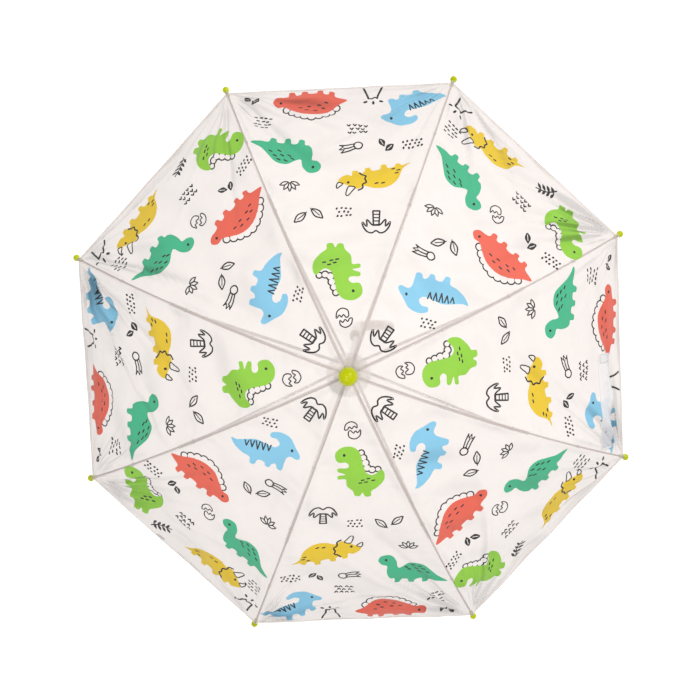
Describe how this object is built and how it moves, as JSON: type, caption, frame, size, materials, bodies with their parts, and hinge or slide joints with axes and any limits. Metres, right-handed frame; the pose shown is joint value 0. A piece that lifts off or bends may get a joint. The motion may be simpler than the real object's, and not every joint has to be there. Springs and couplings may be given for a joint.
{
  "type": "children's umbrella",
  "caption": "Open stick umbrella for a child: eight ribs with ball tips, a sliding runner that folds them, a printed white canopy and a hooked handle.",
  "frame": {"origin": "on the shaft's axis, at the middle of the hand grip", "axes": "+Z along the shaft towards the finial; +X towards the hook's free end; rib 1 is 22.5 degrees anticlockwise from +X seen from above"},
  "size_m": [0.7202, 0.7202, 0.6193],
  "materials": {
    "canopy_fabric": "thin coated weave, slightly see-through, printed",
    "strap_webbing": "narrow woven tape",
    "label_tape": "satin tape",
    "lime_plastic": "gloss moulded",
    "white_plastic": "moulded",
    "shaft_chrome": "bright plated tube",
    "rib_steel": "zinc plated",
    "wire_steel": "drawn wire and spring strip",
    "rod_fibreglass": "smooth drawn rod"
  },
  "bodies": {
    "root": {"shaft": "shaft_chrome", "crown": "white_plastic", "crown_wire": "wire_steel", "crown_patch": "canopy_fabric", "finial": "lime_plastic", "handle": "white_plastic"},
    "rib_1": {"rib_channel_1": "rib_steel", "rib_rod_1": "rod_fibreglass", "rib_tip_1": "lime_plastic"},
    "rib_2": {"rib_channel_2": "rib_steel", "rib_rod_2": "rod_fibreglass", "rib_tip_2": "lime_plastic"},
    "rib_3": {"rib_channel_3": "rib_steel", "rib_rod_3": "rod_fibreglass", "rib_tip_3": "lime_plastic"},
    "rib_4": {"rib_channel_4": "rib_steel", "rib_rod_4": "rod_fibreglass", "rib_tip_4": "lime_plastic"},
    "rib_5": {"rib_channel_5": "rib_steel", "rib_rod_5": "rod_fibreglass", "rib_tip_5": "lime_plastic"},
    "rib_6": {"rib_channel_6": "rib_steel", "rib_rod_6": "rod_fibreglass", "rib_tip_6": "lime_plastic"},
    "rib_7": {"rib_channel_7": "rib_steel", "rib_rod_7": "rod_fibreglass", "rib_tip_7": "lime_plastic"},
    "rib_8": {"rib_channel_8": "rib_steel", "rib_rod_8": "rod_fibreglass", "rib_tip_8": "lime_plastic"},
    "stretcher_1": {"stretcher_1": "rib_steel"},
    "stretcher_2": {"stretcher_2": "rib_steel"},
    "stretcher_3": {"stretcher_3": "rib_steel"},
    "stretcher_4": {"stretcher_4": "rib_steel"},
    "stretcher_5": {"stretcher_5": "rib_steel"},
    "stretcher_6": {"stretcher_6": "rib_steel"},
    "stretcher_7": {"stretcher_7": "rib_steel"},
    "stretcher_8": {"stretcher_8": "rib_steel"},
    "runner": {"runner": "white_plastic", "runner_wire": "wire_steel"},
    "gore_1_left": {"gore_1_left": "canopy_fabric"},
    "gore_1_right": {"gore_1_right": "canopy_fabric"},
    "gore_2_left": {"gore_2_left": "canopy_fabric"},
    "gore_2_right": {"gore_2_right": "canopy_fabric"},
    "gore_3_left": {"gore_3_left": "canopy_fabric"},
    "gore_3_right": {"gore_3_right": "canopy_fabric"},
    "gore_4_left": {"gore_4_left": "canopy_fabric"},
    "gore_4_right": {"gore_4_right": "canopy_fabric"},
    "gore_5_left": {"gore_5_left": "canopy_fabric", "care_label": "label_tape"},
    "gore_5_right": {"gore_5_right": "canopy_fabric"},
    "gore_6_left": {"gore_6_left": "canopy_fabric"},
    "gore_6_right": {"gore_6_right": "canopy_fabric"},
    "gore_7_left": {"gore_7_left": "canopy_fabric"},
    "gore_7_right": {"gore_7_right": "canopy_fabric"},
    "gore_8_left": {"gore_8_left": "canopy_fabric", "tie_strap": "strap_webbing"},
    "gore_8_right": {"gore_8_right": "canopy_fabric"},
    "upper_catch": {"upper_catch": "wire_steel"},
    "lower_catch": {"lower_catch": "wire_steel"}
  },
  "joints": [
    {"name": "canopy_fold", "type": "hinge", "parent": "root", "child": "rib_1", "pos_m": [0.00831, 0.00344, 0.49], "axis": [-0.3827, 0.9239, 0], "range_deg": [0, 64.75], "deforming": ["gore_1_left", "gore_1_right", "gore_2_left", "gore_2_right", "gore_3_left", "gore_3_right", "gore_4_left", "gore_4_right", "gore_5_left", "gore_5_right", "gore_6_left", "gore_6_right", "gore_7_left", "gore_7_right", "gore_8_left", "gore_8_right", "crown_patch", "tie_strap", "care_label", "upper_catch", "lower_catch"]},
    {"name": "rib_2_fold", "type": "hinge", "parent": "root", "child": "rib_2", "pos_m": [0.00344, 0.00831, 0.49], "axis": [-0.9239, 0.3827, 0], "range_deg": [0, 64.75]},
    {"name": "rib_3_fold", "type": "hinge", "parent": "root", "child": "rib_3", "pos_m": [-0.00344, 0.00831, 0.49], "axis": [-0.9239, -0.3827, 0], "range_deg": [0, 64.75]},
    {"name": "rib_4_fold", "type": "hinge", "parent": "root", "child": "rib_4", "pos_m": [-0.00831, 0.00344, 0.49], "axis": [-0.3827, -0.9239, 0], "range_deg": [0, 64.75]},
    {"name": "rib_5_fold", "type": "hinge", "parent": "root", "child": "rib_5", "pos_m": [-0.00831, -0.00344, 0.49], "axis": [0.3827, -0.9239, 0], "range_deg": [0, 64.75]},
    {"name": "rib_6_fold", "type": "hinge", "parent": "root", "child": "rib_6", "pos_m": [-0.00344, -0.00831, 0.49], "axis": [0.9239, -0.3827, 0], "range_deg": [0, 64.75]},
    {"name": "rib_7_fold", "type": "hinge", "parent": "root", "child": "rib_7", "pos_m": [0.00344, -0.00831, 0.49], "axis": [0.9239, 0.3827, 0], "range_deg": [0, 64.75]},
    {"name": "rib_8_fold", "type": "hinge", "parent": "root", "child": "rib_8", "pos_m": [0.00831, -0.00344, 0.49], "axis": [0.3827, 0.9239, 0], "range_deg": [0, 64.75]},
    {"name": "stretcher_1_fold", "type": "hinge", "parent": "rib_1", "child": "stretcher_1", "pos_m": [0.1729, 0.07162, 0.44831], "axis": [-0.3827, 0.9239, 0], "range_deg": [-129.5, 0]},
    {"name": "stretcher_2_fold", "type": "hinge", "parent": "rib_2", "child": "stretcher_2", "pos_m": [0.07162, 0.1729, 0.44831], "axis": [-0.9239, 0.3827, 0], "range_deg": [-129.5, 0]},
    {"name": "stretcher_3_fold", "type": "hinge", "parent": "rib_3", "child": "stretcher_3", "pos_m": [-0.07162, 0.1729, 0.44831], "axis": [-0.9239, -0.3827, 0], "range_deg": [-129.5, 0]},
    {"name": "stretcher_4_fold", "type": "hinge", "parent": "rib_4", "child": "stretcher_4", "pos_m": [-0.1729, 0.07162, 0.44831], "axis": [-0.3827, -0.9239, 0], "range_deg": [-129.5, 0]},
    {"name": "stretcher_5_fold", "type": "hinge", "parent": "rib_5", "child": "stretcher_5", "pos_m": [-0.1729, -0.07162, 0.44831], "axis": [0.3827, -0.9239, 0], "range_deg": [-129.5, 0]},
    {"name": "stretcher_6_fold", "type": "hinge", "parent": "rib_6", "child": "stretcher_6", "pos_m": [-0.07162, -0.1729, 0.44831], "axis": [0.9239, -0.3827, 0], "range_deg": [-129.5, 0]},
    {"name": "stretcher_7_fold", "type": "hinge", "parent": "rib_7", "child": "stretcher_7", "pos_m": [0.07162, -0.1729, 0.44831], "axis": [0.9239, 0.3827, 0], "range_deg": [-129.5, 0]},
    {"name": "stretcher_8_fold", "type": "hinge", "parent": "rib_8", "child": "stretcher_8", "pos_m": [0.1729, -0.07162, 0.44831], "axis": [0.3827, 0.9239, 0], "range_deg": [-129.5, 0]},
    {"name": "runner_travel", "type": "hinge", "parent": "stretcher_1", "child": "runner", "pos_m": [0.00831, 0.00344, 0.40662], "axis": [-0.3827, 0.9239, 0], "range_deg": [0, 64.75]},
    {"name": "gore_1_left_fold", "type": "hinge", "parent": "rib_1", "child": "gore_1_left", "pos_m": [0.00689, 0.00689, 0.49], "axis": [-0.2452, -0.8994, -0.3619], "range_deg": [0, 26.73]},
    {"name": "gore_1_right_fold", "type": "hinge", "parent": "rib_2", "child": "gore_1_right", "pos_m": [0.00689, 0.00689, 0.49], "axis": [0.8994, 0.2452, 0.3619], "range_deg": [0, 26.73]},
    {"name": "gore_2_left_fold", "type": "hinge", "parent": "rib_2", "child": "gore_2_left", "pos_m": [0, 0.00974, 0.49], "axis": [0.4626, -0.8094, -0.3619], "range_deg": [0, 26.73]},
    {"name": "gore_2_right_fold", "type": "hinge", "parent": "rib_3", "child": "gore_2_right", "pos_m": [0, 0.00974, 0.49], "axis": [0.4626, 0.8094, 0.3619], "range_deg": [0, 26.73]},
    {"name": "gore_3_left_fold", "type": "hinge", "parent": "rib_3", "child": "gore_3_left", "pos_m": [-0.00689, 0.00689, 0.49], "axis": [0.8994, -0.2452, -0.3619], "range_deg": [0, 26.73]},
    {"name": "gore_3_right_fold", "type": "hinge", "parent": "rib_4", "child": "gore_3_right", "pos_m": [-0.00689, 0.00689, 0.49], "axis": [-0.2452, 0.8994, 0.3619], "range_deg": [0, 26.73]},
    {"name": "gore_4_left_fold", "type": "hinge", "parent": "rib_4", "child": "gore_4_left", "pos_m": [-0.00974, 0, 0.49], "axis": [0.8094, 0.4626, -0.3619], "range_deg": [0, 26.73]},
    {"name": "gore_4_right_fold", "type": "hinge", "parent": "rib_5", "child": "gore_4_right", "pos_m": [-0.00974, 0, 0.49], "axis": [-0.8094, 0.4626, 0.3619], "range_deg": [0, 26.73]},
    {"name": "gore_5_left_fold", "type": "hinge", "parent": "rib_5", "child": "gore_5_left", "pos_m": [-0.00689, -0.00689, 0.49], "axis": [0.2452, 0.8994, -0.3619], "range_deg": [0, 26.73]},
    {"name": "gore_5_right_fold", "type": "hinge", "parent": "rib_6", "child": "gore_5_right", "pos_m": [-0.00689, -0.00689, 0.49], "axis": [-0.8994, -0.2452, 0.3619], "range_deg": [0, 26.73]},
    {"name": "gore_6_left_fold", "type": "hinge", "parent": "rib_6", "child": "gore_6_left", "pos_m": [0, -0.00974, 0.49], "axis": [-0.4626, 0.8094, -0.3619], "range_deg": [0, 26.73]},
    {"name": "gore_6_right_fold", "type": "hinge", "parent": "rib_7", "child": "gore_6_right", "pos_m": [0, -0.00974, 0.49], "axis": [-0.4626, -0.8094, 0.3619], "range_deg": [0, 26.73]},
    {"name": "gore_7_left_fold", "type": "hinge", "parent": "rib_7", "child": "gore_7_left", "pos_m": [0.00689, -0.00689, 0.49], "axis": [-0.8994, 0.2452, -0.3619], "range_deg": [0, 26.73]},
    {"name": "gore_7_right_fold", "type": "hinge", "parent": "rib_8", "child": "gore_7_right", "pos_m": [0.00689, -0.00689, 0.49], "axis": [0.2452, -0.8994, 0.3619], "range_deg": [0, 26.73]},
    {"name": "gore_8_left_fold", "type": "hinge", "parent": "rib_8", "child": "gore_8_left", "pos_m": [0.00974, 0, 0.49], "axis": [-0.8094, -0.4626, -0.3619], "range_deg": [0, 26.73]},
    {"name": "gore_8_right_fold", "type": "hinge", "parent": "rib_1", "child": "gore_8_right", "pos_m": [0.00974, 0, 0.49], "axis": [0.8094, -0.4626, 0.3619], "range_deg": [0, 26.73]},
    {"name": "upper_catch_press", "type": "slide", "parent": "root", "child": "upper_catch", "axis": [-1, 0, 0], "range_m": [0, 0.0028], "stiffness_N_per_m": 400},
    {"name": "lower_catch_press", "type": "slide", "parent": "root", "child": "lower_catch", "axis": [-1, 0, 0], "range_m": [0, 0.0028], "stiffness_N_per_m": 400}
  ],
  "couplings": [
    {"joint": "rib_2_fold", "follows": "canopy_fold", "ratio": 1},
    {"joint": "rib_3_fold", "follows": "canopy_fold", "ratio": 1},
    {"joint": "rib_4_fold", "follows": "canopy_fold", "ratio": 1},
    {"joint": "rib_5_fold", "follows": "canopy_fold", "ratio": 1},
    {"joint": "rib_6_fold", "follows": "canopy_fold", "ratio": 1},
    {"joint": "rib_7_fold", "follows": "canopy_fold", "ratio": 1},
    {"joint": "rib_8_fold", "follows": "canopy_fold", "ratio": 1},
    {"joint": "stretcher_1_fold", "follows": "canopy_fold", "ratio": -2},
    {"joint": "stretcher_2_fold", "follows": "canopy_fold", "ratio": -2},
    {"joint": "stretcher_3_fold", "follows": "canopy_fold", "ratio": -2},
    {"joint": "stretcher_4_fold", "follows": "canopy_fold", "ratio": -2},
    {"joint": "stretcher_5_fold", "follows": "canopy_fold", "ratio": -2},
    {"joint": "stretcher_6_fold", "follows": "canopy_fold", "ratio": -2},
    {"joint": "stretcher_7_fold", "follows": "canopy_fold", "ratio": -2},
    {"joint": "stretcher_8_fold", "follows": "canopy_fold", "ratio": -2},
    {"joint": "runner_travel", "follows": "canopy_fold", "ratio": 1},
    {"joint": "gore_1_left_fold", "follows": "canopy_fold", "ratio": 0.41276},
    {"joint": "gore_1_right_fold", "follows": "canopy_fold", "ratio": 0.41276},
    {"joint": "gore_2_left_fold", "follows": "canopy_fold", "ratio": 0.41276},
    {"joint": "gore_2_right_fold", "follows": "canopy_fold", "ratio": 0.41276},
    {"joint": "gore_3_left_fold", "follows": "canopy_fold", "ratio": 0.41276},
    {"joint": "gore_3_right_fold", "follows": "canopy_fold", "ratio": 0.41276},
    {"joint": "gore_4_left_fold", "follows": "canopy_fold", "ratio": 0.41276},
    {"joint": "gore_4_right_fold", "follows": "canopy_fold", "ratio": 0.41276},
    {"joint": "gore_5_left_fold", "follows": "canopy_fold", "ratio": 0.41276},
    {"joint": "gore_5_right_fold", "follows": "canopy_fold", "ratio": 0.41276},
    {"joint": "gore_6_left_fold", "follows": "canopy_fold", "ratio": 0.41276},
    {"joint": "gore_6_right_fold", "follows": "canopy_fold", "ratio": 0.41276},
    {"joint": "gore_7_left_fold", "follows": "canopy_fold", "ratio": 0.41276},
    {"joint": "gore_7_right_fold", "follows": "canopy_fold", "ratio": 0.41276},
    {"joint": "gore_8_left_fold", "follows": "canopy_fold", "ratio": 0.41276},
    {"joint": "gore_8_right_fold", "follows": "canopy_fold", "ratio": 0.41276}
  ]
}
